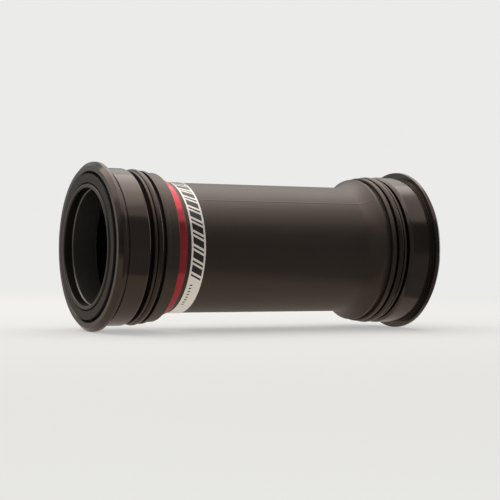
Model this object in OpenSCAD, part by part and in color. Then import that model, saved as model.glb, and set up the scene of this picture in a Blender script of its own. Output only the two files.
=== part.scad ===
// Press-fit bottom bracket: two flanged bearing cups joined by a sleeve.
// The axis of the crank spindle runs along X, and the middle of the frame shell is at the origin.
// Every turned piece is drawn as an outline of [radius, distance from the middle], spun about the axis.

/* [Spindle and shell] */
// Diameter of the crank spindle that turns in the bearings
spindle_d = 30; // [24:0.5:36]
// Width of the frame shell between the two cup flanges
shell_w = 91.5; // [70:0.5:120]

/* [Bearings] */
// Radial height of a bearing, from its bore to its outside
bearing_section = 4; // [3.2:0.1:6]
// Width of a bearing along the spindle
bearing_w = 7; // [5.6:0.1:10]
// How far a bearing's outer face stands out past the end of the frame shell
bearing_out = 0.35; // [0.1:0.05:0.8]
// Diameter of a ball
ball_d = 2.38; // [1.9:0.02:2.9]
// Number of balls in a bearing
ball_count = 26; // [12:1:28]
// Radial gap between the two races
race_gap = 1.7; // [1.4:0.1:1.9]
// Chamfer on the corners of the races
race_chamfer = 0.3; // [0.1:0.05:0.4]
// Radial thickness of the ball cage
cage_t = 1.2; // [0.8:0.1:1.3]
// Material of the cage on each side of a ball pocket
cage_web = 0.45; // [0.3:0.05:0.8]
// Thickness of a bearing seal
bearing_seal_t = 0.4; // [0.3:0.05:0.6]
// Depth of a bearing seal below the face of its bearing
bearing_seal_recess = 0.15; // [0.05:0.05:0.3]

/* [Cups] */
// Wall of the cup around its bearing
cup_wall = 1.5; // [1.2:0.05:2.5]
// Height of the flange above the frame shell's bore
flange_lip = 1.5; // [1:0.1:3]
// Width of the flange's straight outer band
flange_band_w = 0.95; // [0.6:0.05:2]
// Length of the bevel in front of the flange's band, along the axis
flange_bevel_w = 1; // [0.8:0.05:2]
// Height of that bevel, across the axis
flange_bevel_h = 1.1; // [0.6:0.05:1.3]
// Thickness of the lip that stops the bearing
lip_t = 0.75; // [0.4:0.05:1.5]
// How far that lip reaches in from the bearing's outside
lip_reach = 2.2; // [1.8:0.05:2.4]
// Length of the spigot that reaches from the cup into the sleeve
spigot_len = 4.85; // [4.2:0.05:6.2]
// Wall of the spigot
spigot_wall = 1.4; // [1.2:0.05:1.6]
// Section diameter of the seal ring on the spigot
spigot_seal_d = 0.8; // [0.6:0.05:0.9]
// Chamfer on the cup's inner end
cup_chamfer = 0.6; // [0.2:0.05:0.7]
// Chamfer around the cup's mouth
mouth_chamfer = 0.55; // [0.2:0.05:0.8]
// Width of the relief groove near the flange
relief_w = 0.45; // [0.3:0.05:0.8]
// Depth of the relief groove
relief_depth = 0.35; // [0.2:0.05:0.6]
// Distance from the flange to the relief groove
relief_inset = 0.95; // [0.6:0.05:1.4]

/* [Dust covers] */
// Thickness of the cover's face plate
cover_t = 0.75; // [0.5:0.05:0.9]
// How far the dust cover's face stands out of the cup's mouth
cover_proud = 0.45; // [0:0.05:0.6]
// Width of the skirt that rests on the bearing's outer race
cover_skirt_w = 0.9; // [0.6:0.05:1.1]
// Wall of the ring that turns with the spindle
spindle_ring_wall = 1.1; // [1:0.05:1.4]
// How far that ring stands out past the front of the cup
spindle_ring_proud = 0.75; // [0.1:0.05:1]
// Chamfer on both edges of that ring's front
spindle_ring_chamfer = 0.45; // [0.1:0.05:0.5]
// Thickness of the lip that hides behind the cover
ring_lip_t = 0.35; // [0.25:0.05:0.4]
// Height of that lip
ring_lip_h = 1.3; // [0.8:0.05:1.4]

/* [Sleeve] */
// Room around the spindle inside the sleeve, on the radius
sleeve_room = 1; // [0.5:0.1:2]
// Wall of the sleeve's tube
tube_wall = 1.25; // [1:0.05:1.6]
// Gap between a cup and the end of the sleeve
sleeve_gap = 1; // [0.4:0.1:2]
// Radius of the hollow fillet where the tube flares
flare_fillet_r = 6.4; // [5:0.1:10]
// Width of the flare's rim
flare_rim_w = 0.8; // [0.5:0.1:1.6]
// Width of the groove between the flare's rim and its seal end
neck_w = 1.2; // [0.6:0.1:2]
// Depth of that groove below the flare's rim
neck_depth = 0.6; // [0.3:0.05:0.8]
// Chamfer where the spindle enters the sleeve's tube
entry_chamfer = 0.6; // [0.2:0.1:1]

/* [Seal ends] */
// Section diameter of the ring that seals against the frame shell
o_ring_d = 1.6; // [1.3:0.05:1.95]
// Width of the rim outside the seal ring
seal_rim_w = 0.7; // [0.5:0.1:1.5]
// Width of the land inside the seal ring
seal_land_w = 1.15; // [0.8:0.05:2.5]
// Free room between the seal ring and that land
seal_ring_room = 0.65; // [0.1:0.05:0.8]
// Drop from the frame shell's bore to the rim and the land
seal_land_drop = 0.4; // [0.2:0.05:0.6]
// Drop from the frame shell's bore to the smooth band
band_drop = 0.9; // [0.7:0.05:1.2]
// Width of the collar's smooth band
band_w = 2.75; // [2:0.05:4]

/* [Edges] */
// Chamfer on moulded and turned edges
edge = 0.2; // [0.1:0.05:0.3]

/* [Trim] */
// Width of the red ring
red_ring_w = 2.75; // [1.5:0.05:4]
// Height of the red ring above the tube
red_ring_h = 0.65; // [0.3:0.05:1.2]
// Bare tube between the red ring and the label
label_gap = 1.35; // [0.5:0.05:5]
// Width of the label
label_w = 4; // [2:0.1:10]
// Thickness of the label
label_t = 0.1; // [0.05:0.01:0.2]

/* [Clearances] */
// Between pieces that are pressed or glued together
press_gap = 0.02; // [0.01:0.01:0.04]
// Between pieces that slide together and then stay still
slip_gap = 0.05; // [0.03:0.01:0.08]
// Around a ball, in its races and in its cage
ball_gap = 0.05; // [0.02:0.01:0.08]
// Between a turning piece and a fixed one
running_gap = 0.25; // [0.15:0.05:0.3]
// Around the dust cover, in the cup
cover_gap = 0.25; // [0.1:0.05:0.4]
// From the seal ring's crest to the frame shell's bore
crest_gap = 0.05; // [0.02:0.01:0.2]
// Beside a seal ring, on each side in its groove
groove_side_gap = 0.15; // [0.05:0.05:0.3]
// Between the end of a spigot and the shoulder in the sleeve
spigot_end_gap = 0.3; // [0.1:0.05:0.6]
// Around the spindle, in the ring that turns with it
ring_bore_gap = 0.2; // [0.16:0.01:0.3]
// Between a bearing seal's lip and the inner race
seal_lip_gap = 0.12; // [0.08:0.01:0.2]
// Step from the bearing's seat to the wider seat of its dust cover
cover_seat_step = 0.1; // [0.05:0.01:0.3]

/* [Hidden] */

left = -1;
right = 1;
facets = 96;

// Radii, from the spindle outwards
spindle_r = spindle_d / 2;
bearing_r = spindle_r + bearing_section;
pitch_r = spindle_r + bearing_section / 2;
inner_race_r = pitch_r - race_gap / 2;
outer_race_r = pitch_r + race_gap / 2;
shell_r = bearing_r + cup_wall;
flange_r = shell_r + flange_lip;
front_rim_r = flange_r - flange_bevel_h;
bearing_seat_r = bearing_r + press_gap;
spigot_r_in = bearing_r - lip_reach;
spigot_r_out = spigot_r_in + spigot_wall;
spigot_bore_r = spigot_r_out + slip_gap;
tube_r_in = spindle_r + sleeve_room;
tube_r_out = tube_r_in + tube_wall;
tube_bore_r = tube_r_out + press_gap;
crest_r = shell_r - crest_gap;
land_r = shell_r - seal_land_drop;
band_r = shell_r - band_drop;
o_ring_groove_r = crest_r - o_ring_d - slip_gap;
spigot_seal_crest_r = spigot_bore_r - press_gap;
spigot_groove_r = spigot_seal_crest_r - spigot_seal_d - press_gap;
spindle_ring_r_in = spindle_r + ring_bore_gap;
spindle_ring_r_out = spindle_ring_r_in + spindle_ring_wall;
cover_r_in = spindle_ring_r_out + running_gap;
cover_seat_r = bearing_seat_r + cover_seat_step;
cover_r_out = cover_seat_r - cover_gap;

// Distances from the middle, along the axis
shell_end = shell_w / 2;
bearing_front = shell_end + bearing_out;
bearing_back = bearing_front - bearing_w;
bearing_mid = (bearing_front + bearing_back) / 2;
cup_front = shell_end + flange_band_w + flange_bevel_w;
cup_end = bearing_back - lip_t;
spigot_end = cup_end - spigot_len;
shoulder = spigot_end - spigot_end_gap;
sleeve_end = cup_end - sleeve_gap;
groove_out = sleeve_end - seal_rim_w;
groove_w = o_ring_d + 2 * groove_side_gap + seal_ring_room;
groove_in = groove_out - groove_w;
o_ring_mid = groove_out - groove_side_gap - o_ring_d / 2;
seal_land_in = groove_in - seal_land_w;
collar_in = seal_land_in - band_w;
red_ring_in = collar_in - red_ring_w;
label_out = red_ring_in - label_gap;
label_in = label_out - label_w;
neck_in = seal_land_in - neck_w;
flare_rim_in = neck_in - flare_rim_w;
flare_rise = band_r - tube_r_out;
flare_start = flare_rim_in - sqrt(pow(flare_fillet_r, 2) - pow(flare_fillet_r - flare_rise, 2));
spigot_groove_w = spigot_seal_d + 2 * groove_side_gap;
spigot_groove_in = (spigot_end + sleeve_end - spigot_groove_w) / 2;
relief_out = shell_end - relief_inset;
cover_front = cup_front + cover_proud;
cover_plate_back = cover_front - cover_t;
ring_front = cup_front + spindle_ring_proud;
ring_lip_front = cover_plate_back - running_gap;
ring_lip_back = ring_lip_front - ring_lip_t;

black_anodised = [0.06, 0.058, 0.056];
black_plastic = [0.085, 0.08, 0.075];
black_rubber = [0.04, 0.04, 0.04];
bearing_steel = [0.72, 0.73, 0.75];
cage_plastic = [0.75, 0.66, 0.45];
crimson = [0.66, 0.06, 0.1];
label_white = [0.9, 0.88, 0.83];

// Spins an outline about X, on the left or the right end
module on_end(end) {
    mirror([end == left ? 1 : 0, 0, 0])
        rotate([0, 90, 0])
            children();
}

module turned(end, outline) {
    on_end(end)
        rotate_extrude($fn = facets)
            polygon(outline);
}

module torus(end, section_d, centre_r, centre) {
    on_end(end)
        rotate_extrude($fn = facets)
            translate([centre_r, centre])
                circle(d = section_d, $fn = facets);
}

// A rectangular ring with chamfers on its two outer corners
function ring_outline(r_in, r_out, near, far, chamfer) = [
    [r_in, near],
    [r_out - chamfer, near],
    [r_out, near + chamfer],
    [r_out, far - chamfer],
    [r_out - chamfer, far],
    [r_in, far]
];

// Land, seal ring groove and rim, from the middle outwards
function seal_end_outline() = [
    [land_r - edge, seal_land_in],
    [land_r, seal_land_in + edge],
    [land_r, groove_in],
    [o_ring_groove_r, groove_in],
    [o_ring_groove_r, groove_out],
    [land_r, groove_out],
    [land_r, sleeve_end - edge],
    [land_r - edge, sleeve_end]
];

module cup(end) {
    color(black_anodised)
        turned(end, [
            [spigot_r_in, spigot_end],
            [spigot_r_out - edge, spigot_end],
            [spigot_r_out, spigot_end + edge],
            [spigot_r_out, spigot_groove_in],
            [spigot_groove_r, spigot_groove_in],
            [spigot_groove_r, spigot_groove_in + spigot_groove_w],
            [spigot_r_out, spigot_groove_in + spigot_groove_w],
            [spigot_r_out, cup_end],
            [shell_r - cup_chamfer, cup_end],
            [shell_r, cup_end + cup_chamfer],
            [shell_r, relief_out - relief_w],
            [shell_r - relief_depth, relief_out - relief_w],
            [shell_r - relief_depth, relief_out],
            [shell_r, relief_out],
            [shell_r, shell_end],
            [flange_r, shell_end],
            [flange_r, shell_end + flange_band_w],
            [front_rim_r, cup_front],
            [cover_seat_r + mouth_chamfer, cup_front],
            [cover_seat_r, cup_front - mouth_chamfer],
            [cover_seat_r, bearing_front],
            [bearing_seat_r, bearing_front],
            [bearing_seat_r, bearing_back - press_gap],
            [spigot_r_in, bearing_back - press_gap]
        ]);
}

module dust_cover(end) {
    color(black_plastic)
        turned(end, [
            [cover_r_in, cover_plate_back],
            [cover_r_out - cover_skirt_w, cover_plate_back],
            [cover_r_out - cover_skirt_w, bearing_front + press_gap],
            [cover_r_out, bearing_front + press_gap],
            [cover_r_out, cover_front - edge],
            [cover_r_out - edge, cover_front],
            [cover_r_in + edge, cover_front],
            [cover_r_in, cover_front - edge]
        ]);
}

module spindle_ring(end) {
    foot_r = inner_race_r - race_chamfer;
    color(black_plastic)
        turned(end, [
            [spindle_ring_r_in, bearing_front + press_gap],
            [foot_r, bearing_front + press_gap],
            [foot_r, ring_lip_back],
            [spindle_ring_r_out + ring_lip_h, ring_lip_back],
            [spindle_ring_r_out + ring_lip_h, ring_lip_front],
            [spindle_ring_r_out, ring_lip_front],
            [spindle_ring_r_out, ring_front - spindle_ring_chamfer],
            [spindle_ring_r_out - spindle_ring_chamfer, ring_front],
            [spindle_ring_r_in + spindle_ring_chamfer, ring_front],
            [spindle_ring_r_in, ring_front - spindle_ring_chamfer]
        ]);
}

module ball_track(end) {
    torus(end, ball_d + 2 * ball_gap, pitch_r, bearing_mid);
}

module outer_race(end) {
    color(bearing_steel)
        difference() {
            turned(end, ring_outline(outer_race_r, bearing_r, bearing_back, bearing_front, race_chamfer));
            ball_track(end);
        }
}

module inner_race(end) {
    color(bearing_steel)
        difference() {
            turned(end, [
                [spindle_r, bearing_back + race_chamfer],
                [spindle_r + race_chamfer, bearing_back],
                [inner_race_r, bearing_back],
                [inner_race_r, bearing_front],
                [spindle_r + race_chamfer, bearing_front],
                [spindle_r, bearing_front - race_chamfer]
            ]);
            ball_track(end);
        }
}

// Puts a child at every ball's place
module each_ball(end) {
    on_end(end)
        for (i = [0 : ball_count - 1])
            rotate([0, 0, (i + 0.5) * 360 / ball_count])
                translate([pitch_r, 0, bearing_mid])
                    children();
}

module balls(end) {
    color(bearing_steel)
        each_ball(end)
            sphere(d = ball_d, $fn = facets);
}

module ball_cage(end) {
    half_w = ball_d / 2 + ball_gap + cage_web;
    color(cage_plastic)
        difference() {
            turned(end, ring_outline(
                pitch_r - cage_t / 2, pitch_r + cage_t / 2,
                bearing_mid - half_w, bearing_mid + half_w, edge
            ));
            each_ball(end)
                rotate([0, 90, 0])
                    cylinder(h = 2 * cage_t, d = ball_d + 2 * ball_gap, center = true, $fn = facets);
        }
}

// face is the bearing face that the seal closes, and inward the way from it into the bearing
module bearing_seal(end, face, inward) {
    outside = face + inward * bearing_seal_recess;
    inside = outside + inward * bearing_seal_t;
    color(black_rubber)
        turned(end, [
            [inner_race_r + seal_lip_gap, outside],
            [outer_race_r - press_gap, outside],
            [outer_race_r - press_gap, inside],
            [inner_race_r + seal_lip_gap, inside]
        ]);
}

module spigot_seal(end) {
    color(black_rubber)
        torus(
            end, spigot_seal_d,
            spigot_seal_crest_r - spigot_seal_d / 2,
            spigot_groove_in + spigot_groove_w / 2
        );
}

module shell_o_ring(end) {
    color(black_rubber)
        torus(end, o_ring_d, crest_r - o_ring_d / 2, o_ring_mid);
}

module sleeve() {
    color(black_plastic)
        on_end(right)
            rotate_extrude($fn = facets)
                difference() {
                    polygon(concat(
                        [
                            [tube_r_in, -shoulder + edge],
                            [tube_r_in + edge, -shoulder],
                            [tube_r_out, -shoulder],
                            [tube_r_out, flare_start],
                            [band_r, flare_start],
                            [band_r, neck_in],
                            [band_r - neck_depth, neck_in],
                            [band_r - neck_depth, seal_land_in]
                        ],
                        seal_end_outline(),
                        [
                            [spigot_bore_r, sleeve_end],
                            [spigot_bore_r, shoulder],
                            [tube_r_in + entry_chamfer, shoulder],
                            [tube_r_in, shoulder - entry_chamfer]
                        ]
                    ));
                    translate([tube_r_out + flare_fillet_r, flare_start])
                        circle(r = flare_fillet_r, $fn = facets);
                }
}

module collar() {
    color(black_plastic)
        turned(left, concat(
            [
                [tube_bore_r, collar_in],
                [band_r - edge, collar_in],
                [band_r, collar_in + edge],
                [band_r, seal_land_in]
            ],
            seal_end_outline(),
            [
                [spigot_bore_r, sleeve_end],
                [spigot_bore_r, shoulder],
                [tube_bore_r, shoulder]
            ]
        ));
}

module red_ring() {
    color(crimson)
        turned(left, ring_outline(
            tube_bore_r, tube_r_out + red_ring_h,
            red_ring_in, collar_in - press_gap, edge
        ));
}

module label_band() {
    color(label_white)
        turned(left, [
            [tube_bore_r, label_in],
            [tube_bore_r + label_t, label_in],
            [tube_bore_r + label_t, label_out],
            [tube_bore_r, label_out]
        ]);
}

cup(left);  // left_cup
cup(right);  // right_cup
dust_cover(left);  // left_dust_cover
dust_cover(right);  // right_dust_cover
spindle_ring(left);  // left_spindle_ring
spindle_ring(right);  // right_spindle_ring
outer_race(left);  // left_outer_race
outer_race(right);  // right_outer_race
inner_race(left);  // left_inner_race
inner_race(right);  // right_inner_race
balls(left);  // left_balls
balls(right);  // right_balls
ball_cage(left);  // left_ball_cage
ball_cage(right);  // right_ball_cage
bearing_seal(left, bearing_front, -1);  // left_outer_bearing_seal
bearing_seal(right, bearing_front, -1);  // right_outer_bearing_seal
bearing_seal(left, bearing_back, 1);  // left_inner_bearing_seal
bearing_seal(right, bearing_back, 1);  // right_inner_bearing_seal
spigot_seal(left);  // left_spigot_seal
spigot_seal(right);  // right_spigot_seal
shell_o_ring(left);  // left_shell_o_ring
shell_o_ring(right);  // right_shell_o_ring
sleeve();
collar();  // left_collar
red_ring();
label_band();
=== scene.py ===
"""Press-fit bottom bracket, turned and finished around the packed frame."""

import math

import bpy
from mathutils import Matrix, Vector


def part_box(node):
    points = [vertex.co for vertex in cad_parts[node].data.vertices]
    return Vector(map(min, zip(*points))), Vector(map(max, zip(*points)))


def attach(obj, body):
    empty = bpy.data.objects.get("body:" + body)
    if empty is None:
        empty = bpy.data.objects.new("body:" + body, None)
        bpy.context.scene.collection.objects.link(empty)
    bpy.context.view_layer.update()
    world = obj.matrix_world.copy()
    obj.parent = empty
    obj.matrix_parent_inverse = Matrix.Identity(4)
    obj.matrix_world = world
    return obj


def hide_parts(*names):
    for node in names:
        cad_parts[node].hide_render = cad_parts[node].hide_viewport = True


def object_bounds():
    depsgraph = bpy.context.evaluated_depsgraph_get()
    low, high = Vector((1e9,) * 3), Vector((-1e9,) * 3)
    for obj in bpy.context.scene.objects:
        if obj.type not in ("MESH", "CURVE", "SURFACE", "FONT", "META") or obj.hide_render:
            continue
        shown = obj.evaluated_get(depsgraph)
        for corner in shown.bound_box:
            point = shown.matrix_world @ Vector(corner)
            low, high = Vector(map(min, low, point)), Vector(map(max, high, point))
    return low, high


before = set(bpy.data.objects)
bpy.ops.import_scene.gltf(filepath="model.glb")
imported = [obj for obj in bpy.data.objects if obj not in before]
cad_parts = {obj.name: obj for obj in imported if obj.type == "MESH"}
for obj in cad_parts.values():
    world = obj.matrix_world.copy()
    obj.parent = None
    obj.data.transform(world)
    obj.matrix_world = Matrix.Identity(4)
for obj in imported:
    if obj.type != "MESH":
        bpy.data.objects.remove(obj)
cad_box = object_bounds()

bl_info = {
    "name": "Press-fit bottom bracket",
    "version": (1, 0, 0),
    "blender": (4, 5, 0),
    "location": "3D View > Sidebar > Bracket",
    "description": "Builds the visible pieces of a press-fit bottom bracket and its stage",
    "category": "Object",
}

MM = 0.001
ENDS = {"left": -1, "right": 1}

# How finely the pieces are turned, the bend that counts as straight, and the most of a side
# that a corner's rounding may take.
STEPS_ROUND = 256
STEPS_CORNER = 5
STEPS_FLARE = 28
STEPS_SECTION = 40
SLOPE_STEP = 0.0005
STRAIGHT = math.radians(176)
LONGEST_CUT = 0.48

# The faces of a block whose foot is corners 0 to 3 and whose top is corners 4 to 7.
BLOCK_FACES = ((3, 2, 1, 0), (4, 5, 6, 7), (0, 1, 5, 4), (1, 2, 6, 5), (2, 3, 7, 6), (3, 0, 4, 7))

# The label's print, in degrees round it: pairs of a wide and a narrow bar, each with its start
# in the pair and its width, and then a row of ticks near the label's far edge.
BARS = ((0.0, 6.0), (8.2, 1.8))
BAR_SLANT = 5.0
BAR_START, BAR_PITCH, BAR_PAIRS, BAR_GRID = 98, 12, 9, 6
TICK_START, TICK_PITCH, TICK_WIDTH, TICK_COUNT = 213, 3.4, 1.2, 8
TICK_INSET, TICK_LENGTH = 0.9 * MM, 0.7 * MM

# The viewer's directions along the floor, and where the camera stands.
INWARDS = Vector((0.462, 0.887, 0))
SIDEWAYS = Vector((0.887, -0.462, 0))
CAMERA_PLACE = (-0.1938, -0.3714, 0)
CAMERA_DROP = Vector((0, 0, -0.001))
CAMERA_ROLL = 0.0103

# Strips of the overhead light: name, start and stop along INWARDS, and radiance.
LIGHT_STRIPS = (
    ("light_front", -0.30, -0.06, 0.85),
    ("light_fore", -0.06, 0.05, 1.15),
    ("light_middle", 0.05, 0.20, 1.65),
    ("light_high", 0.20, 0.42, 1.85),
    ("light_back", 0.42, 0.75, 0.55),
)
LAMP_TINT = (1.0, 0.95, 0.89)
FILL_TINT = (1.0, 0.95, 0.90, 1)
BACKDROP_TINT = (1, 1, 0.99, 1)

# The floor's colour, and its tints where it is seen, is mirrored and lights the object.
# The floor as it is lit fades into the plain backdrop over SHADOW_REACH.
FLOOR_HALF = 4.0
FLOOR_COLOUR = (0.92, 0.94, 0.95, 1)
FLOOR_TINT = (1.0, 1.0, 0.98, 1)
GLOW_TINT = (1.0, 0.88, 0.77, 1)
BOUNCE_TINT = (1.0, 0.96, 0.92, 1)
SHADOW_REACH = (0.10, 0.40)

# The cards: how they fade from left to right, and where they start and stop.
CARD_TINT = (1.0, 0.99, 0.96, 1)
CARD_FADE = (0.08, 0.38)
CARD_DIM, CARD_FULL = 0.5, 1.3
CARD_HALF = 0.06
CARD_GAP = 0.5 * MM
SIDE_SHARE = 0.3
BRIGHT_FRONT, BRIGHT_TOP = -0.25, 0.35
BACK_TOP = 0.17


# ---------------- sizes and colours


def near(node):
    """How near to the middle of the shell a node comes, along the axis."""
    low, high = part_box(node)
    return min(abs(low.x), abs(high.x))


def far(node):
    """How far from the middle of the shell a node reaches, along the axis."""
    low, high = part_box(node)
    return max(abs(low.x), abs(high.x))


def reach(node):
    """A turned node's largest radius."""
    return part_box(node)[1].z


def length(name, description, default):
    """A size in metres that a user may change."""
    return bpy.props.FloatProperty(
        name=name, description=description, default=default, unit="LENGTH", precision=5
    )


def colour(name, description, default):
    """A colour that a user may change."""
    return bpy.props.FloatVectorProperty(
        name=name, description=description, default=default, subtype="COLOR", min=0, max=1
    )


def level(name, description, default):
    """A brightness that a user may change."""
    return bpy.props.FloatProperty(name=name, description=description, default=default, min=0)


class CupSizes(bpy.types.PropertyGroup):
    """Sizes of a flanged bearing cup."""

    shell_r: length("Shell radius", "Radius of the cylinder pressed into the shell", 20.5 * MM)
    shell_end: length("Shell end", "From the middle to the flange's back face", 45.75 * MM)
    flange_r: length("Flange radius", "Outside of the flange", reach("left_cup"))
    front: length("Front", "From the middle to the cup's front", far("left_cup"))
    rim_r: length("Front rim radius", "Where the bevel meets the front face", 20.9 * MM)
    band_w: length("Flange band", "Width of the flange's straight outer band", 0.95 * MM)
    cover_seat_r: length("Cover seat radius", "Bore that holds the dust cover", 19.12 * MM)
    bearing_seat_r: length("Bearing seat radius", "Bore that holds the bearing", 19.02 * MM)
    lip_in: length("Lip", "From the middle to the lip's inner face", 38.35 * MM)
    spigot_end: length("Spigot end", "From the middle to the spigot's end", near("left_cup"))
    spigot_r_in: length("Spigot bore radius", "Bore of the spigot", 16.8 * MM)
    spigot_r_out: length("Spigot radius", "Outside of the spigot", 18.2 * MM)
    spigot_groove_r: length("Spigot groove radius", "Floor of the spigot's seal groove", 17.41 * MM)
    spigot_groove_w: length("Spigot groove width", "Width of the spigot's seal groove", 1.1 * MM)
    relief_w: length("Relief width", "Width of the groove near the flange", 0.45 * MM)
    relief_depth: length("Relief depth", "Depth of the groove near the flange", 0.35 * MM)
    relief_inset: length("Relief inset", "From the flange to that groove", 0.95 * MM)
    chamfer: length("Chamfer", "Chamfer on the cup's inner end", 0.6 * MM)
    mouth_chamfer: length("Mouth chamfer", "Chamfer around the cup's mouth", 0.55 * MM)


class CoverSizes(bpy.types.PropertyGroup):
    """Sizes of a dust cover and of the ring that turns inside it."""

    r_in: length("Cover bore radius", "Bore of the dust cover", 16.55 * MM)
    r_out: length("Cover radius", "Outside of the dust cover", reach("left_dust_cover"))
    front: length("Cover front", "From the middle to the cover's face", far("left_dust_cover"))
    back: length("Cover back", "From the middle to the skirt's end", near("left_dust_cover"))
    plate: length("Plate", "Thickness of the face plate", 0.75 * MM)
    skirt: length("Skirt", "Radial width of the skirt", 0.9 * MM)
    tick_height: length("Tick height", "How far the moulded ticks stand up", 0.05 * MM)
    tick_width: length("Tick width", "Width of a moulded tick", 0.16 * MM)
    ring_r_in: length("Ring bore radius", "Bore of the turning ring", 15.2 * MM)
    ring_r_out: length("Ring radius", "Outside of the turning ring's front", 16.3 * MM)
    ring_foot_r: length("Ring foot radius", "Outside of the turning ring's foot", 15.85 * MM)
    ring_lip_r: length("Ring lip radius", "Outside of the hidden lip", reach("left_spindle_ring"))
    ring_front: length("Ring front", "From the middle to its front", far("left_spindle_ring"))
    ring_back: length("Ring back", "From the middle to the ring's foot", near("left_spindle_ring"))
    ring_lip_front: length("Lip front", "From the middle to the lip's front", 47.15 * MM)
    ring_lip_back: length("Lip back", "From the middle to the lip's back", 46.8 * MM)
    ring_nose: length("Ring nose", "Rounding of both edges of the turning ring's front", 0.45 * MM)


class SleeveSizes(bpy.types.PropertyGroup):
    """Sizes of the sleeve, its collar and its seal ends."""

    tube_r_in: length("Tube bore radius", "Bore of the tube", 16.0 * MM)
    tube_r_out: length("Tube radius", "Outside of the tube", 17.25 * MM)
    collar_bore_r: length("Collar bore radius", "Bore of the collar, glued to the tube", 17.27 * MM)
    end: length("End", "From the middle to the seal ends", far("sleeve"))
    shoulder: length("Shoulder", "From the middle to the tube's own end", 33.2 * MM)
    spigot_bore_r: length("Spigot bore radius", "Bore around the cup's spigot", 18.25 * MM)
    entry: length("Entry chamfer", "Chamfer where the spindle enters the tube", 0.6 * MM)
    land_r: length("Land radius", "Outside of the rim and the land", reach("sleeve"))
    land_in: length("Land edge", "From the middle to the land's inner edge", 32.95 * MM)
    groove_in: length("Groove inner side", "From the middle to the seal groove", 34.1 * MM)
    groove_out: length("Groove outer side", "From the middle to its outer side", 36.65 * MM)
    groove_r: length("Groove radius", "Floor of the seal groove", 18.8 * MM)
    band_r: length("Band radius", "Outside of the collar's band and the flare's rim", 19.6 * MM)
    neck_r: length("Neck radius", "Floor of the neck beside the flare's rim", 19.0 * MM)
    neck_in: length("Neck", "From the middle to the neck", 31.75 * MM)
    rim_in: length("Flare rim", "From the middle to the flare's rim", 30.95 * MM)
    flare_r: length("Flare radius", "Radius of the flare's hollow fillet", 6.4 * MM)
    collar_in: length("Collar edge", "From the middle to its inner edge", near("left_collar"))
    seam_height: length("Seam height", "Height of the mould seam along the tube", 0.035 * MM)
    seam_width: length("Seam width", "Half width of the mould seam", 0.22 * MM)


class TrimSizes(bpy.types.PropertyGroup):
    """Sizes of the red ring, the label and the seal rings."""

    red_r: length("Red ring radius", "Outside of the red ring", reach("red_ring"))
    red_in: length("Red ring near edge", "From the middle to its near edge", near("red_ring"))
    red_out: length("Red ring far edge", "From the middle to its far edge", far("red_ring"))
    label_r: length("Label radius", "Outside of the label", reach("label_band"))
    label_in: length("Label near edge", "From the middle to its near edge", near("label_band"))
    label_out: length("Label far edge", "From the middle to its far edge", far("label_band"))
    bar_half: length("Bar", "Half the length of a printed bar", 1.5 * MM)
    ink: length("Ink", "Thickness of the printed ink", 0.012 * MM)
    shell_ring_d: length("Shell seal section", "Section of the ring that seals the shell", 1.6 * MM)
    spigot_ring_d: length("Spigot seal section", "Section of the ring on the spigot", 0.8 * MM)


class FinishColours(bpy.types.PropertyGroup):
    """Colours of the finishes."""

    anodised: colour("Anodised black", "The cups", (0.0115, 0.0100, 0.0085))
    moulded: colour("Moulded black", "The dust covers", (0.0150, 0.0135, 0.0120))
    acetal: colour("Acetal black", "The turning rings", (0.0140, 0.0122, 0.0105))
    sleeve: colour("Sleeve black", "The sleeve and its collar", (0.0125, 0.0103, 0.0082))
    rubber: colour("Rubber", "The seal rings", (0.0085, 0.0078, 0.0066))
    steel: colour("Steel", "The races", (0.16, 0.155, 0.14))
    ball: colour("Ball steel", "The balls", (0.66, 0.66, 0.66))
    nylon: colour("Nylon", "The ball cages", (0.42, 0.33, 0.18))
    crimson: colour("Crimson", "The red ring", (0.47, 0.044, 0.058))
    film: colour("Film", "The label's ground", (0.93, 0.88, 0.81))
    ink: colour("Ink", "The label's print", (0.020, 0.017, 0.014))
    highlight: colour("Highlight", "Warm cast of the black finishes' shine", (1.0, 0.78, 0.67))


class StageSizes(bpy.types.PropertyGroup):
    """The floor, the light and the camera."""

    floor_z: length("Floor", "Height of the floor", cad_box[0].z)
    lamp_z: length("Light height", "Height of the soft overhead light", 0.45)
    lamp_left: length("Light left", "How far it reaches to the viewer's left", 0.60)
    lamp_right: length("Light right", "How far it reaches to the viewer's right", 0.262)
    room_x: length("Room half length", "Distance to the cards beside the ends", 0.60)
    room_y: length("Room half depth", "Distance to the cards in front and behind", 0.45)
    card_left: length("Card start, left", "Where the dark card begins, in front", 0.042)
    card_right: length("Card start, right", "Where it begins at the right end", 0.014)
    background: level("Background", "Brightness of the floor and the backdrop", 0.831)
    shade: level("Shade", "Brightness of the dark cards that the black surfaces mirror", 0.16)
    deep_shade: level("Deep shade", "Brightness of the card to the left, in front", 0.05)
    half_light: level("Half light", "Brightness of the grey card behind the left end", 0.42)
    bright: level("Bright", "Brightness of the card to the right, which edges mirror", 3.6)
    glow: level("Glow", "Brightness of the floor as the black surfaces mirror it", 0.54)
    bounce: level("Bounce", "Brightness of the floor as it lights the object from below", 0.80)
    fill: level("Fill", "Brightness of the soft light from all sides", 0.36)
    lens: bpy.props.FloatProperty(
        name="Lens", description="Focal length in millimetres", default=110.8, unit="CAMERA"
    )


# ---------------- shader writing


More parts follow.
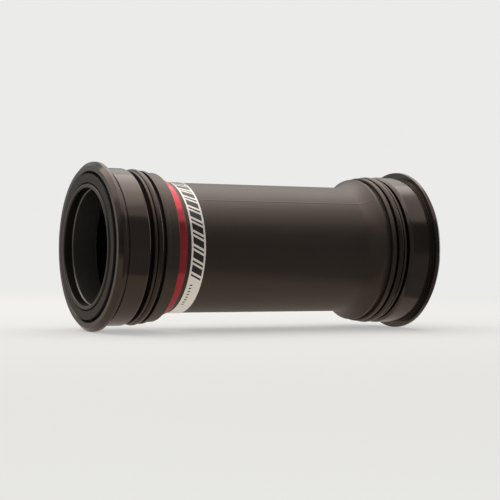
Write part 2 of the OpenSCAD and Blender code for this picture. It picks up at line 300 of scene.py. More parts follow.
class Number:
    """A value that varies over a surface. An expression on it adds its Math nodes."""

    def __init__(self, finish, socket):
        self.finish = finish
        self.socket = socket

    def maths(self, operation, *values):
        """One Math node on these values."""
        node = self.finish.add("ShaderNodeMath", {"operation": operation}, dict(enumerate(values)))
        return Number(self.finish, node.outputs[0])

    def __add__(self, other):
        return self.maths("ADD", self, other)

    __radd__ = __add__

    def __sub__(self, other):
        return self.maths("SUBTRACT", self, other)

    def __rsub__(self, other):
        return self.maths("SUBTRACT", other, self)

    def __mul__(self, other):
        return self.maths("MULTIPLY", self, other)

    __rmul__ = __mul__

    def __pow__(self, other):
        return self.maths("POWER", self, other)

    def between(self, low, high):
        """0 below low, 1 above high, and smooth between them."""
        node = self.finish.add(
            "ShaderNodeMapRange",
            {"interpolation_type": "SMOOTHSTEP"},
            {"Value": self, "From Min": low, "From Max": high},
        )
        return Number(self.finish, node.outputs["Result"])


class Finish:
    """One material, or the world, written node by node."""

    def __init__(self, name, material=None):
        self.material = material or bpy.data.materials.new(name)
        self.material.use_nodes = True
        self.nodes = self.material.node_tree.nodes
        self.links = self.material.node_tree.links
        self.nodes.clear()

    def add(self, kind, settings=None, values=None):
        """Makes a node. Its settings come first, and then its sockets' values or links."""
        node = self.nodes.new(kind)
        for key, value in (settings or {}).items():
            setattr(node, key, value)
        for key, value in (values or {}).items():
            socket = node.inputs[key]
            source = value.socket if isinstance(value, Number) else value
            if isinstance(source, bpy.types.NodeSocket):
                self.links.new(source, socket)
            else:
                socket.default_value = source
        return node

    def place(self):
        """Where a point of the surface is, in the row's frame, in millimetres."""
        here = self.add("ShaderNodeTexCoord").outputs["Object"]
        scaled = self.add(
            "ShaderNodeVectorMath", {"operation": "SCALE"}, {"Vector": here, "Scale": 1 / MM}
        )
        return scaled.outputs["Vector"]

    def parts(self, vector):
        """A vector's three numbers."""
        node = self.add("ShaderNodeSeparateXYZ", None, {0: vector})
        return [Number(self, out) for out in node.outputs]

    def turned_place(self, along, across, around):
        """A place for streaks round the axis: fine along and across it, coarse around it."""
        x, y, z = self.parts(self.place())
        radius = (y * y + z * z) ** 0.5
        spot = {0: x * along, 1: radius * across, 2: (y + z * 0.7) * around}
        return self.add("ShaderNodeCombineXYZ", None, spot).outputs[0]

    def noise(self, vector, scale=1.0, detail=2.0, roughness=0.5):
        """Soft noise from 0 to 1."""
        node = self.add(
            "ShaderNodeTexNoise",
            None,
            {"Vector": vector, "Scale": scale, "Detail": detail, "Roughness": roughness},
        )
        return Number(self, node.outputs["Fac"])

    def mixed(self, first, second, share):
        """A colour between two others."""
        node = self.add(
            "ShaderNodeMix",
            {"data_type": "RGBA", "clamp_factor": True},
            {"Factor": share, "A": opaque(first), "B": opaque(second)},
        )
        return node.outputs["Result"]

    def bump(self, height, depth):
        """A surface relief: height is 0 to 1, and depth is in metres."""
        values = {"Height": height, "Strength": 1.0, "Distance": depth}
        return self.add("ShaderNodeBump", None, values).outputs["Normal"]

    def shine(self, values):
        """Ends the finish with a Principled shader of these values."""
        shader = self.add("ShaderNodeBsdfPrincipled", None, values)
        self.add("ShaderNodeOutputMaterial", None, {"Surface": shader.outputs[0]})
        return self.material


def opaque(value):
    """A colour with its alpha, or a socket as it is."""
    return value if isinstance(value, bpy.types.NodeSocket) else (*value[:3], 1.0)


def toned(rgb, share):
    """A colour made lighter or darker."""
    return tuple(min(1.0, channel * share) for channel in rgb)


# ---------------- finishes


def anodised_black(colours):
    """Smooth black anodised aluminium, with faint marks of turning under it."""
    f = Finish("anodised_black")
    marks = f.noise(f.turned_place(9.0, 9.0, 0.05), 1.0, 3.0, 0.6)
    cloud = f.noise(f.place(), 0.35, 3.0)
    pores = f.noise(f.place(), 7.0, 2.0)
    base = f.mixed(toned(colours.anodised, 0.8), toned(colours.anodised, 1.25), cloud)
    return f.shine(
        {
            "Base Color": base,
            "Roughness": 0.13 + cloud * 0.05 + marks * 0.05,
            "IOR": 1.70,
            "Specular Tint": opaque(colours.highlight),
            "Normal": f.bump(marks * 0.7 + pores * 0.3, 0.004 * MM),
        }
    )


def moulded_black(colours):
    """Satin moulded plastic with a fine spark-eroded grain."""
    f = Finish("moulded_black")
    grain = f.noise(f.place(), 5.5, 4.0, 0.65)
    cloud = f.noise(f.place(), 0.5, 2.0)
    uneven = cloud * 0.6 + grain * 0.4
    base = f.mixed(toned(colours.moulded, 0.75), toned(colours.moulded, 1.3), uneven)
    return f.shine(
        {
            "Base Color": base,
            "Roughness": 0.40 + grain * 0.14,
            "IOR": 1.42,
            "Specular Tint": opaque(colours.highlight),
            "Normal": f.bump(grain, 0.012 * MM),
        }
    )


def acetal_black(colours):
    """Smooth black acetal, with faint marks of turning."""
    f = Finish("acetal_black")
    marks = f.noise(f.turned_place(7.0, 7.0, 0.05), 1.0, 3.0, 0.6)
    cloud = f.noise(f.place(), 0.6, 2.0)
    uneven = cloud * 0.6 + marks * 0.4
    base = f.mixed(toned(colours.acetal, 0.8), toned(colours.acetal, 1.2), uneven)
    return f.shine(
        {
            "Base Color": base,
            "Roughness": 0.24 + cloud * 0.08 + marks * 0.06,
            "IOR": 1.55,
            "Specular Tint": opaque(colours.highlight),
            "Normal": f.bump(marks, 0.006 * MM),
        }
    )


def sleeve_black(colours):
    """Satin black moulding with a fine grain and faint draw marks along the tube."""
    f = Finish("sleeve_black")
    x, y, z = f.parts(f.place())
    stretched = f.add("ShaderNodeCombineXYZ", None, {0: x * 0.06, 1: y * 1.6, 2: z * 1.6})
    streaks = f.noise(stretched.outputs[0], 1.0, 3.0, 0.55)
    grain = f.noise(f.place(), 6.5, 4.0, 0.7)
    cloud = f.noise(f.place(), 0.22, 3.0)
    uneven = cloud * 0.4 + streaks * 0.3 + grain * 0.3
    base = f.mixed(toned(colours.sleeve, 0.75), toned(colours.sleeve, 1.3), uneven)
    return f.shine(
        {
            "Base Color": base,
            "Roughness": 0.36 + grain * 0.08 + streaks * 0.05,
            "IOR": 1.68,
            "Specular Tint": opaque(colours.highlight),
            "Normal": f.bump(grain * 0.8 + streaks * 0.2, 0.014 * MM),
        }
    )


def black_rubber(colours):
    """Greased black rubber, with a little dust in its grain."""
    f = Finish("black_rubber")
    grain = f.noise(f.place(), 8.0, 3.0, 0.7)
    dust = f.noise(f.place(), 2.2, 4.0, 0.75).between(0.58, 0.75)
    base = f.mixed(toned(colours.rubber, 0.8), toned(colours.rubber, 2.6), dust * 0.5)
    return f.shine(
        {
            "Base Color": base,
            "Roughness": 0.18 + grain * 0.10 + dust * 0.14,
            "IOR": 1.6,
            "Specular Tint": opaque(colours.highlight),
            "Normal": f.bump(grain, 0.010 * MM),
        }
    )


def ground_steel(colours):
    """Bearing steel dulled by a film of grease, with grinding marks round the axis."""
    f = Finish("ground_steel")
    marks = f.noise(f.turned_place(16.0, 16.0, 0.05), 1.0, 3.0, 0.6)
    cloud = f.noise(f.place(), 0.6, 2.0)
    uneven = marks * 0.5 + cloud * 0.5
    base = f.mixed(toned(colours.steel, 0.8), toned(colours.steel, 1.1), uneven)
    return f.shine(
        {
            "Base Color": base,
            "Metallic": 0.8,
            "Roughness": 0.34 + marks * 0.08,
            "Normal": f.bump(marks, 0.001 * MM),
        }
    )


def polished_ball(colours):
    """Polished bearing steel under a film of grease."""
    f = Finish("polished_ball")
    film = f.noise(f.place(), 1.1, 3.0)
    base = f.mixed(toned(colours.ball, 0.85), toned(colours.ball, 1.1), film)
    return f.shine(
        {
            "Base Color": base,
            "Metallic": 1.0,
            "Roughness": 0.06 + film * 0.10,
            "Normal": f.bump(film, 0.002 * MM),
        }
    )


def cage_nylon(colours):
    """Natural nylon, slightly uneven in colour."""
    f = Finish("cage_nylon")
    cloud = f.noise(f.place(), 0.7, 3.0)
    grain = f.noise(f.place(), 6.0, 3.0)
    base = f.mixed(toned(colours.nylon, 0.8), toned(colours.nylon, 1.15), cloud)
    return f.shine(
        {
            "Base Color": base,
            "Roughness": 0.42 + grain * 0.15,
            "Normal": f.bump(grain, 0.010 * MM),
        }
    )


def crimson_lacquer(colours):
    """Glossy metallic crimson, with faint marks of turning."""
    f = Finish("crimson_lacquer")
    marks = f.noise(f.turned_place(10.0, 8.0, 0.08), 1.0, 3.0, 0.6)
    cloud = f.noise(f.place(), 0.5, 2.0)
    uneven = cloud * 0.7 + marks * 0.3
    base = f.mixed(toned(colours.crimson, 0.85), toned(colours.crimson, 1.12), uneven)
    return f.shine(
        {
            "Base Color": base,
            "Metallic": 0.65,
            "Roughness": 0.12 + marks * 0.06,
            "IOR": 1.5,
            "Normal": f.bump(marks, 0.002 * MM),
        }
    )


def label_film(colours):
    """Glossy metallised film, a little mottled by handling."""
    f = Finish("label_film")
    cloud = f.noise(f.place(), 0.55, 4.0, 0.6)
    grain = f.noise(f.place(), 9.0, 2.0)
    base = f.mixed(toned(colours.film, 0.93), toned(colours.film, 1.03), cloud)
    return f.shine(
        {
            "Base Color": base,
            "Metallic": 0.22,
            "Roughness": 0.10 + cloud * 0.08,
            "IOR": 1.55,
            "Normal": f.bump(grain, 0.002 * MM),
        }
    )


def label_ink(colours):
    """Screen-printed ink, thin in places."""
    f = Finish("label_ink")
    grain = f.noise(f.place(), 8.0, 3.0, 0.7)
    base = f.mixed(toned(colours.ink, 0.8), toned(colours.ink, 1.6), grain)
    return f.shine(
        {
            "Base Color": base,
            "Roughness": 0.16 + grain * 0.10,
            "IOR": 1.55,
            "Normal": f.bump(grain, 0.002 * MM),
        }
    )


FINISHES = {
    "anodised_cup": anodised_black,
    "dust_cover": moulded_black,
    "spindle_ring": acetal_black,
    "race_steel": ground_steel,
    "ball_steel": polished_ball,
    "cage_nylon": cage_nylon,
    "seal_rubber": black_rubber,
    "sleeve_plastic": sleeve_black,
    "red_ring": crimson_lacquer,
    "label": label_film,
}


def finished(piece, maker):
    """Gives a piece one finish. Each finish is made once."""
    material = bpy.data.materials.get(maker.__name__) or maker(bpy.context.scene.bracket_colours)
    piece.data.materials.clear()
    piece.data.materials.append(material)


# ---------------- turning


def rounded(outline):
    """A closed outline of (radius, distance, corner radius), with an arc at each corner."""
    points = []
    count = len(outline)
    for i, (r, x, corner) in enumerate(outline):
        here = Vector((x, r))
        before = Vector((outline[i - 1][1], outline[i - 1][0])) - here
        after = Vector((outline[(i + 1) % count][1], outline[(i + 1) % count][0])) - here
        bend = before.angle(after)
        if corner <= 0 or bend > STRAIGHT:
            points.append(here)
            continue
        longest = LONGEST_CUT * min(before.length, after.length)
        back = min(corner / math.tan(bend / 2), longest)
        radius = back * math.tan(bend / 2)
        inside = (before.normalized() + after.normalized()).normalized()
        middle = here + inside * radius / math.sin(bend / 2)
        start = here + before.normalized() * back - middle
        end = here + after.normalized() * back - middle
        sweep = start.angle(end)
        steps = max(2, round(STEPS_CORNER * sweep / math.radians(90)))
        for k in range(steps + 1):
            share = k / steps
            spoke = start * math.sin((1 - share) * sweep) + end * math.sin(share * sweep)
            points.append(middle + spoke / math.sin(sweep))
    return points


def outward_normals(points):
    """Each outline point's normal, away from the material, and which way round the outline runs.
    The longer side counts for more, so flats stay flat."""
    pairs = list(zip(points, points[1:] + points[:1]))
    area = sum(here.x * following.y - following.x * here.y for here, following in pairs)
    sign = 1 if area > 0 else -1
    sides = [following - here for here, following in pairs]
    normals = [Vector((side.y, -side.x)) * sign for side in sides]
    return [(normals[i - 1] + normals[i]).normalized() for i in range(len(points))], sign


def turn(name, end, outline, relief=None, extra_angles=()):
    """Spins an outline about the axis. relief(x, radius, angle) raises the surface, in metres."""
    points = [Vector((p.x * ENDS[end], p.y)) for p in rounded(outline)]
    normals, sign = outward_normals(points)
    angles = sorted({i * math.tau / STEPS_ROUND for i in range(STEPS_ROUND)} | set(extra_angles))
    vertices, directions = [], []
    for angle in angles:
        c, s = math.cos(angle), math.sin(angle)
        for p, n in zip(points, normals):
            radius, slope = p.y, 0.0
            if relief:
                radius += relief(p.x, p.y, angle)
                rise = relief(p.x, p.y, angle + SLOPE_STEP) - relief(p.x, p.y, angle - SLOPE_STEP)
                slope = rise / (2 * SLOPE_STEP * p.y)
            vertices.append((p.x, radius * c, radius * s))
            direction = Vector((n.x, n.y * (c + slope * s), n.y * (s - slope * c)))
            directions.append(direction.normalized())
    count, around = len(points), len(angles)
    faces = []
    for j in range(around):
        here, following = j * count, (j + 1) % around * count
        for i in range(count):
            after = (i + 1) % count
            a, b, c, d = here + i, here + after, following + after, following + i
            faces.append((a, b, c, d) if sign > 0 else (a, d, c, b))
    mesh = bpy.data.meshes.new(name)
    mesh.from_pydata(vertices, [], faces)
    mesh.polygons.foreach_set("use_smooth", [True] * len(faces))
    mesh.normals_split_custom_set_from_vertices(directions)
    return linked(name, mesh)


def linked(name, mesh):
    """A new object in the scene, with this mesh."""
    piece = bpy.data.objects.new(name, mesh)
    bpy.context.scene.collection.objects.link(piece)
    return piece


def fitted(piece, slot, body, *stands_for, maker=None):
    """Gives a piece its finish and its body, and hides the CAD nodes that it stands for."""
    finished(piece, maker or FINISHES[slot])
    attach(piece, body)
    if stands_for:
        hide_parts(*stands_for)


def plates(name, patches, lift, base):
    """Thin closed plates on a cylinder about the axis. A patch is rows of (x, angle) corners."""
    vertices, faces = [], []
    for rows in patches:
        start, across, down = len(vertices), len(rows[0]), len(rows)
        spots = [spot for row in rows for spot in row]
        for radius in (base, lift):
            vertices += [(x, radius * math.cos(a), radius * math.sin(a)) for x, a in spots]

        def corner(spot, top):
            return start + (top * down + spot[0]) * across + spot[1]

        for i in range(down - 1):
            for j in range(across - 1):
                quad = [(i, j), (i, j + 1), (i + 1, j + 1), (i + 1, j)]
                faces.append([corner(spot, 1) for spot in quad])
                faces.append([corner(spot, 0) for spot in reversed(quad)])
        rim = [(0, j) for j in range(across)] + [(i, across - 1) for i in range(1, down)]
        rim += [(down - 1, j) for j in reversed(range(across - 1))]
        rim += [(i, 0) for i in range(down - 2, 0, -1)]
        for here, following in zip(rim, rim[1:] + rim[:1]):
            low, high = [[corner(spot, top) for spot in (here, following)] for top in (0, 1)]
            faces.append(low + high[::-1])
    mesh = bpy.data.meshes.new(name)
    mesh.from_pydata(vertices, [], faces)
    return linked(name, mesh)


def cup_outline(s):
    """The cup: spigot, lip, cylinder with its relief groove, flange, mouth and seats."""
    groove_in = (s.spigot_end + bpy.context.scene.bracket_sleeve.end - s.spigot_groove_w) / 2
    relief_out = s.shell_end - s.relief_inset
    edge, soft, fine = 0.2 * MM, 0.10 * MM, 0.04 * MM
    inner_end, flange_back, flange_front = 0.8 * MM, 0.25 * MM, 0.16 * MM
    bearing_front = near("left_dust_cover")
    bearing_back = near("left_outer_race")
    return [
        (s.spigot_r_in, s.spigot_end, soft),
        (s.spigot_r_out, s.spigot_end, edge),
        (s.spigot_r_out, groove_in, fine),
        (s.spigot_groove_r, groove_in, fine),
        (s.spigot_groove_r, groove_in + s.spigot_groove_w, fine),
        (s.spigot_r_out, groove_in + s.spigot_groove_w, fine),
        (s.spigot_r_out, s.lip_in, soft),
        (s.shell_r - s.chamfer, s.lip_in, soft),
        (s.shell_r, s.lip_in + s.chamfer, inner_end),
        (s.shell_r, relief_out - s.relief_w, fine),
        (s.shell_r - s.relief_depth, relief_out - s.relief_w, soft),
        (s.shell_r - s.relief_depth, relief_out, soft),
        (s.shell_r, relief_out, fine),
        (s.shell_r, s.shell_end, fine),
        (s.flange_r, s.shell_end, edge),
        (s.flange_r, s.shell_end + s.band_w, flange_back),
        (s.rim_r, s.front, flange_front),
        (s.cover_seat_r + s.mouth_chamfer, s.front, fine),
        (s.cover_seat_r, s.front - s.mouth_chamfer, fine),
        (s.cover_seat_r, bearing_front, fine),
        (s.bearing_seat_r, bearing_front, fine),
        (s.bearing_seat_r, bearing_back, fine),
        (s.spigot_r_in, bearing_back, fine),
    ]


def cover_outline(s):
    """The dust cover: a face plate and a skirt behind its outer edge."""
    soft, fine = 0.18 * MM, 0.05 * MM
    plate_back = s.front - s.plate
    return [
        (s.r_in, plate_back, fine),
        (s.r_out - s.skirt, plate_back, fine),
        (s.r_out - s.skirt, s.back, fine),
        (s.r_out, s.back, fine),
        (s.r_out, s.front, soft),
        (s.r_in, s.front, soft),
    ]


def spindle_ring_outline(s):
    """The turning ring: its foot, the lip behind the cover, and its rounded front."""
    fine = 0.05 * MM
    return [
        (s.ring_r_in, s.ring_back, fine),
        (s.ring_foot_r, s.ring_back, fine),
        (s.ring_foot_r, s.ring_lip_back, fine),
        (s.ring_lip_r, s.ring_lip_back, fine),
        (s.ring_lip_r, s.ring_lip_front, fine),
        (s.ring_r_out, s.ring_lip_front, fine),
        (s.ring_r_out, s.ring_front, s.ring_nose),
        (s.ring_r_in, s.ring_front, s.ring_nose),
    ]


def seal_end_outline(s):
    """The land and the seal groove that both ends share."""
    broad, soft, fine = 0.4 * MM, 0.18 * MM, 0.08 * MM
    return [
        (s.land_r, s.land_in, broad),
        (s.land_r, s.groove_in, fine),
        (s.groove_r, s.groove_in, fine),
        (s.groove_r, s.groove_out, fine),
        (s.land_r, s.groove_out, fine),
        (s.land_r, s.end, soft),
    ]


def sleeve_outline(s):
    """The tube, its hollow flare, the rim, the neck and the seal end."""
    soft, fine = 0.15 * MM, 0.06 * MM
    rise = s.band_r - s.tube_r_out
    sweep = math.acos(1 - rise / s.flare_r)
    flare_start = s.rim_in - s.flare_r * math.sin(sweep)
    flare = []
    for k in range(STEPS_FLARE):
        spoke = sweep * k / STEPS_FLARE
        radius = s.tube_r_out + s.flare_r * (1 - math.cos(spoke))
        flare.append((radius, flare_start + s.flare_r * math.sin(spoke), 0))
    return [
        (s.tube_r_in, -s.shoulder, soft),
        (s.tube_r_out, -s.shoulder, fine),
        *flare,
        (s.band_r, s.rim_in, soft),
        (s.band_r, s.neck_in, soft),
        (s.neck_r, s.neck_in, fine),
        (s.neck_r, s.land_in, fine),
        *seal_end_outline(s),
        (s.spigot_bore_r, s.end, fine),
        (s.spigot_bore_r, s.shoulder, fine),
        (s.tube_r_in + s.entry, s.shoulder, fine),
        (s.tube_r_in, s.shoulder - s.entry, fine),
    ]


def collar_outline(s):
    """The collar: its band, the seal end and the bore round the spigot."""
    soft, fine = 0.2 * MM, 0.06 * MM
    return [
        (s.collar_bore_r, s.collar_in, fine),
        (s.band_r, s.collar_in, soft),
        (s.band_r, s.land_in, fine),
        *seal_end_outline(s),
        (s.spigot_bore_r, s.end, fine),
        (s.spigot_bore_r, s.shoulder, fine),
        (s.collar_bore_r, s.shoulder, fine),
    ]


def ring_outline(r_in, r_out, start, stop, corner):
    """A plain ring whose outer edges are rounded more than its inner ones."""
    return [
        (r_in, start, 0.4 * corner),
        (r_out, start, corner),
        (r_out, stop, corner),
        (r_in, stop, 0.4 * corner),
    ]


def circle_outline(section_d, crest_r, middle):
    """A ring of round section, from its outermost radius."""
    radius = section_d / 2
    spokes = [math.tau * k / STEPS_SECTION for k in range(STEPS_SECTION)]
    return [
        (crest_r - radius + radius * math.cos(spoke), middle + radius * math.sin(spoke), 0)
        for spoke in spokes
    ]


# ---------------- operators


class BRACKET_OT_stage(bpy.types.Operator):
    """Sets the floor, the soft light and the camera"""

    bl_idname = "bracket.stage"
    bl_label = "Stage"

    def execute(self, context):
        s = context.scene.bracket_stage
        context.scene.view_settings.view_transform = "Standard"
        self.floor(s)
        self.surround(s)
        self.lamps(s)
        self.world(s)
        self.camera(s)
        return {"FINISHED"}

    def floor(self, s):
        """A plain pale floor, which keeps the object's shadow and fades into the backdrop."""
        corners = [(-1, -1), (1, -1), (1, 1), (-1, 1)]
        points = [(FLOOR_HALF * x, FLOOR_HALF * y, s.floor_z) for x, y in corners]
        mesh = bpy.data.meshes.new("floor")
        mesh.from_pydata(points, [], [(0, 1, 2, 3)])
        floor = linked("floor", mesh)
        f = Finish("pale_floor")
        x, y, _ = f.parts(f.add("ShaderNodeTexCoord").outputs["Object"])
        away = ((x * x + y * y) ** 0.5).between(*SHADOW_REACH)
        path = f.add("ShaderNodeLightPath").outputs
        seen = Number(f, path["Is Camera Ray"])
        mirrored = Number(f, path["Is Glossy Ray"]) + Number(f, path["Is Transmission Ray"])
        lighting = Number(f, path["Is Diffuse Ray"])
        surface = f.add("ShaderNodeBsdfDiffuse", None, {"Color": FLOOR_COLOUR})
        for share, tint, strength in (
            (seen * (0.5 + away * 0.5), FLOOR_TINT, s.background),
            (mirrored, GLOW_TINT, s.glow),
            (lighting, BOUNCE_TINT, s.bounce),
        ):
            light = f.add("ShaderNodeEmission", None, {"Color": tint, "Strength": strength})
            values = {0: share, 1: surface.outputs[0], 2: light.outputs[0]}
            surface = f.add("ShaderNodeMixShader", None, values)
        f.add("ShaderNodeOutputMaterial", None, {"Surface": surface.outputs[0]})
        floor.data.materials.append(f.material)

    def surround(self, s):
        """Cards round the object, which only its shine sees."""
        low = s.floor_z + CARD_GAP
        x, y, side = s.room_x, s.room_y, SIDE_SHARE * s.room_y

        def wall(x_a, y_a, x_b, y_b, top=s.lamp_z):
            """An upright face over a line on the floor."""
            return [(x_a, y_a, low), (x_b, y_b, low), (x_b, y_b, top), (x_a, y_a, top)]

        left, right = (-CARD_HALF, -s.card_left, low), (CARD_HALF, -s.card_right, low)
        self.card(
            "front_card", s.shade, [left, right, (x, -y, low), (-x, -y, low)], wall(-x, -y, x, -y)
        )
        for name, near_end, sign, strength in (
            ("left_front_card", left, -1, s.deep_shade),
            ("right_front_card", right, 1, s.shade),
        ):
            beside, before = (sign * x, -side, low), (sign * x, -y, low)
            self.card(name, strength, [near_end, beside, before], wall(*beside[:2], *before[:2]))
        self.card("right_card", s.bright, wall(x, BRIGHT_FRONT, x, y, BRIGHT_TOP))
        self.card("back_right_card", s.shade, wall(0, y, x, y, BACK_TOP))
        self.card("back_left_card", s.half_light, wall(0, y, -x, y), wall(-x, y, -x, -side))

    def card(self, name, strength, *faces):
        """A card of flat faces, dimmer on the right."""
        points, sides = [], []
        for face in faces:
            sides.append(tuple(range(len(points), len(points) + len(face))))
            points += face
        mesh = bpy.data.meshes.new(name)
        mesh.from_pydata(points, [], sides)
        piece = linked(name, mesh)
        f = Finish(name)
        x, _, _ = f.parts(f.add("ShaderNodeTexCoord").outputs["Object"])
        dim, full = (
            f.add("ShaderNodeEmission", None, {"Color": CARD_TINT, "Strength": strength * share})
            for share in (CARD_DIM, CARD_FULL)
        )
        values = {0: 1 - x.between(*CARD_FADE), 1: dim.outputs[0], 2: full.outputs[0]}
        mixed = f.add("ShaderNodeMixShader", None, values)
        f.add("ShaderNodeOutputMaterial", None, {"Surface": mixed.outputs[0]})
        mesh.materials.append(f.material)
        piece.visible_camera = False
        piece.visible_diffuse = False
        piece.visible_shadow = False

    def lamps(self, s):
        """One broad soft light overhead, in strips of different strength."""
        for name, start, stop, radiance in LIGHT_STRIPS:
            lamp = bpy.data.lights.new(name, "AREA")
            lamp.shape = "RECTANGLE"
            lamp.size = s.lamp_left + s.lamp_right
            lamp.size_y = stop - start
            lamp.color = LAMP_TINT
            lamp.energy = radiance * math.pi * lamp.size * lamp.size_y
            holder = bpy.data.objects.new(name, lamp)
            middle = SIDEWAYS * (s.lamp_right - s.lamp_left) / 2 + INWARDS * (start + stop) / 2
            holder.location = (middle.x, middle.y, s.lamp_z)
            holder.rotation_euler.z = math.atan2(SIDEWAYS.y, SIDEWAYS.x)
            bpy.context.scene.collection.objects.link(holder)

    def world(self, s):
        """Soft light from all sides, and a plain backdrop for what is seen and mirrored."""
        world = bpy.data.worlds.new("plain_room")
        bpy.context.scene.world = world
        f = Finish("plain_room", world)
        path = f.add("ShaderNodeLightPath").outputs
        rays = [Number(f, path[f"Is {kind} Ray"]) for kind in ("Camera", "Glossy", "Transmission")]
        fill, plain = (
            f.add("ShaderNodeBackground", None, {"Color": tint, "Strength": strength}).outputs[0]
            for tint, strength in ((FILL_TINT, s.fill), (BACKDROP_TINT, s.background))
        )
        both = f.add("ShaderNodeMixShader", None, {0: sum(rays), 1: fill, 2: plain})
        f.add("ShaderNodeOutputWorld", None, {"Surface": both.outputs[0]})

    def camera(self, s):
        """The camera, level with the axis, in front of it and to the left."""
        camera = bpy.data.cameras.new("camera")
        camera.lens = s.lens
        camera.sensor_width = 36
        camera.clip_start = 0.01
        camera.clip_end = 20
        holder = bpy.data.objects.new("camera", camera)
        forward = (INWARDS + CAMERA_DROP).normalized()
        facing = forward.to_track_quat("-Z", "Y").to_matrix() @ Matrix.Rotation(CAMERA_ROLL, 3, "Z")
        holder.matrix_world = Matrix.Translation(CAMERA_PLACE) @ facing.to_4x4()
        bpy.context.scene.collection.objects.link(holder)
        bpy.context.scene.camera = holder


class BRACKET_OT_cups(bpy.types.Operator):
    """Turns the two flanged bearing cups"""

    bl_idname = "bracket.cups"
    bl_label = "Bearing cups"

    def execute(self, context):
        for end in ENDS:
            cup = turn(f"{end}_cup_turned", end, cup_outline(context.scene.bracket_cups))
            fitted(cup, "anodised_cup", "root", f"{end}_cup")
        return {"FINISHED"}


class BRACKET_OT_covers(bpy.types.Operator):
    """Moulds the dust covers and the rings that turn with the spindle"""

    bl_idname = "bracket.covers"
    bl_label = "Dust covers"

    def execute(self, context):
        s = context.scene.bracket_covers
        for end in ENDS:
            cover = turn(f"{end}_dust_cover_moulded", end, cover_outline(s))
            fitted(cover, "dust_cover", "root", f"{end}_dust_cover")
            fitted(self.ticks(end, s), "dust_cover", "root")
            ring = turn(f"{end}_spindle_ring_moulded", end, spindle_ring_outline(s))
            fitted(ring, "spindle_ring", f"{end}_rotor", f"{end}_spindle_ring")
        return {"FINISHED"}

    def ticks(self, end, s):
        """Short moulded ticks round part of the cover's face, in groups with a long one each."""
        vertices, faces = [], []
        middle = (s.r_in + s.r_out) / 2
        side = math.pi if end == "left" else 0.0
        step, spread, group = math.radians(2.3), 16, 8
        long_half, short_half = 0.50 * MM, 0.32 * MM
        half_width = s.tick_width / 2
        # Where a tick's foot and top lie along the axis, and how wide each is.
        foot, top = (s.front - 0.1 * MM, 1.0), (s.front + s.tick_height, 0.7)
        for k in range(-spread, spread + 1):
            if k % group == group // 2:
                continue
            angle = side + step * k
            half_length = short_half if k % group else long_half
            out = Vector((0, math.cos(angle), math.sin(angle)))
            along = Vector((0, -math.sin(angle), math.cos(angle)))
            start = len(vertices)
            for x, shrink in (foot, top):
                for a, b in ((-1, -1), (1, -1), (1, 1), (-1, 1)):
                    spot = out * (middle + a * (half_length - (1 - shrink) * half_width))
                    spot += along * b * half_width * shrink
                    vertices.append((x * ENDS[end], spot.y, spot.z))
            for quad in BLOCK_FACES:
                faces.append([start + i for i in quad[:: ENDS[end]]])
        mesh = bpy.data.meshes.new(f"{end}_cover_ticks")
        mesh.from_pydata(vertices, [], faces)
        return linked(f"{end}_cover_ticks", mesh)


class BRACKET_OT_sleeve(bpy.types.Operator):
    """Turns the sleeve with its flare and mould seam, and its collar"""

    bl_idname = "bracket.sleeve"
    bl_label = "Sleeve and collar"

    def execute(self, context):
        s = context.scene.bracket_sleeve
        trim = context.scene.bracket_trim
        seams = (math.radians(134), math.radians(314))
        half = s.seam_width / s.tube_r_out
        start, stop = 0.6 * MM - trim.label_in, s.rim_in - 0.3 * MM
        slack, fade = 0.01 * MM, 0.1 * MM

        def seam(x, radius, angle):
            if not (s.tube_r_out - slack <= radius <= s.band_r and start < x < stop):
                return 0.0
            away = min(abs(math.remainder(angle - a, math.tau)) for a in seams)
            return s.seam_height * max(0.0, 1 - (away / half) ** 2) ** 2

        across = [a + half * k / 4 for a in seams for k in range(-4, 5)]
        outline = sleeve_outline(s)
        # The seam begins between these two, after the tube's left end.
        outline[2:2] = [(s.tube_r_out, start - fade, 0), (s.tube_r_out, start + fade, 0)]
        sleeve = turn("sleeve_moulded", "right", outline, seam, across)
        fitted(sleeve, "sleeve_plastic", "root", "sleeve")
        collar = turn("left_collar_moulded", "left", collar_outline(s))
        fitted(collar, "sleeve_plastic", "root", "left_collar")
        return {"FINISHED"}


class BRACKET_OT_trim(bpy.types.Operator):
    """Fits the red ring and the printed label"""

    bl_idname = "bracket.trim"
    bl_label = "Red ring and label"

    def execute(self, context):
        t = context.scene.bracket_trim
        bore = context.scene.bracket_sleeve.collar_bore_r
        red_edge, film_edge = 0.2 * MM, 0.03 * MM
        outline = ring_outline(bore, t.red_r, t.red_in, t.red_out, red_edge)
        fitted(turn("red_ring_turned", "left", outline), "red_ring", "root", "red_ring")
        outline = ring_outline(bore, t.label_r, t.label_in, t.label_out, film_edge)
        fitted(turn("label_film", "left", outline), "label", "root", "label_band")
        ink = plates("label_print", self.print_patches(t), t.label_r + t.ink, t.label_r - 2 * t.ink)
        fitted(ink, "label", "root", maker=label_ink)
        return {"FINISHED"}

    def print_patches(self, t):
        """Plain slanted bars, wide and narrow in turn, and a row of even ticks after them.
        A bar is a grid, so that it follows the label's curve."""
        shares = [i / BAR_GRID for i in range(BAR_GRID + 1)]
        middle = -(t.label_in + t.label_out) / 2
        across = [middle + t.bar_half * (2 * share - 1) for share in shares]
        tick_ends = (TICK_INSET - t.label_out, TICK_INSET + TICK_LENGTH - t.label_out)
        patches = []
        for side in (0, 180):
            for k in range(BAR_PAIRS):
                for offset, wide in BARS:
                    start = side + BAR_START + BAR_PITCH * k + offset
                    rows = []
                    for row in shares:
                        angles = [start + wide * row + BAR_SLANT * share for share in shares]
                        rows.append(list(zip(across, map(math.radians, angles))))
                    patches.append(rows)
            for k in range(TICK_COUNT):
                start = side + TICK_START + TICK_PITCH * k
                edges = (math.radians(start), math.radians(start + TICK_WIDTH))
                patches.append([[(x, edge) for x in tick_ends] for edge in edges])
        return patches


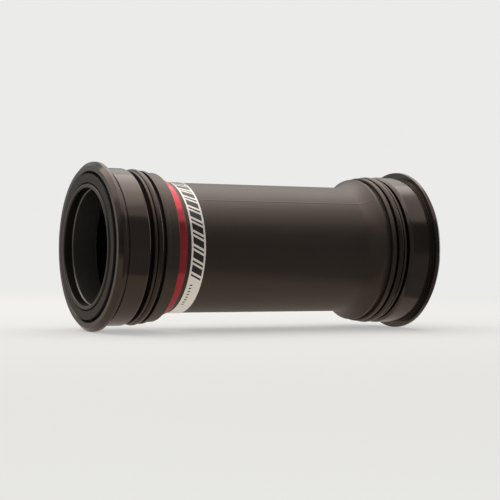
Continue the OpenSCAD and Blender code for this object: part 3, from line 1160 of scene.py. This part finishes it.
class BRACKET_OT_seal_rings(bpy.types.Operator):
    """Fits the seal rings in their grooves"""

    bl_idname = "bracket.seal_rings"
    bl_label = "Seal rings"

    def execute(self, context):
        t = context.scene.bracket_trim
        sections = {"shell_o_ring": t.shell_ring_d, "spigot_seal": t.spigot_ring_d}
        for end in ENDS:
            for node, section in sections.items():
                name = f"{end}_{node}"
                middle = (near(name) + far(name)) / 2
                ring = turn(f"{name}_moulded", end, circle_outline(section, reach(name), middle))
                fitted(ring, "seal_rubber", "root", name)
        return {"FINISHED"}


class BRACKET_OT_bearings(bpy.types.Operator):
    """Finishes the races, the balls, the cages and the bearing seals"""

    bl_idname = "bracket.bearings"
    bl_label = "Bearings"

    def execute(self, context):
        slots = {
            "outer_race": "race_steel",
            "inner_race": "race_steel",
            "balls": "ball_steel",
            "ball_cage": "cage_nylon",
            "outer_bearing_seal": "seal_rubber",
            "inner_bearing_seal": "seal_rubber",
        }
        for end in ENDS:
            for node, slot in slots.items():
                finished(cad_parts[f"{end}_{node}"], FINISHES[slot])
        return {"FINISHED"}


class BRACKET_PT_sidebar(bpy.types.Panel):
    """Lists the steps, the sizes and the colours"""

    bl_idname = "BRACKET_PT_sidebar"
    bl_label = "Bottom bracket"
    bl_space_type = "VIEW_3D"
    bl_region_type = "UI"
    bl_category = "Bracket"

    def draw(self, context):
        for operator in OPERATORS:
            self.layout.operator(operator.bl_idname)
        for name, group in GROUPS.items():
            box = self.layout.box()
            box.label(text=group.__doc__)
            for key in group.__annotations__:
                box.prop(getattr(context.scene, name), key)


GROUPS = {
    "bracket_cups": CupSizes,
    "bracket_covers": CoverSizes,
    "bracket_sleeve": SleeveSizes,
    "bracket_trim": TrimSizes,
    "bracket_colours": FinishColours,
    "bracket_stage": StageSizes,
}
OPERATORS = (
    BRACKET_OT_stage,
    BRACKET_OT_cups,
    BRACKET_OT_covers,
    BRACKET_OT_sleeve,
    BRACKET_OT_trim,
    BRACKET_OT_seal_rings,
    BRACKET_OT_bearings,
)


def register():
    for thing in (*GROUPS.values(), *OPERATORS, BRACKET_PT_sidebar):
        bpy.utils.register_class(thing)
    for name, group in GROUPS.items():
        setattr(bpy.types.Scene, name, bpy.props.PointerProperty(type=group))


def unregister():
    for name in GROUPS:
        delattr(bpy.types.Scene, name)
    for thing in (BRACKET_PT_sidebar, *reversed(OPERATORS), *reversed(GROUPS.values())):
        bpy.utils.unregister_class(thing)


def main():
    register()
    bpy.ops.bracket.stage()
    bpy.ops.bracket.cups()
    bpy.ops.bracket.covers()
    bpy.ops.bracket.sleeve()
    bpy.ops.bracket.trim()
    bpy.ops.bracket.seal_rings()
    bpy.ops.bracket.bearings()


if __name__ == "__main__":
    main()
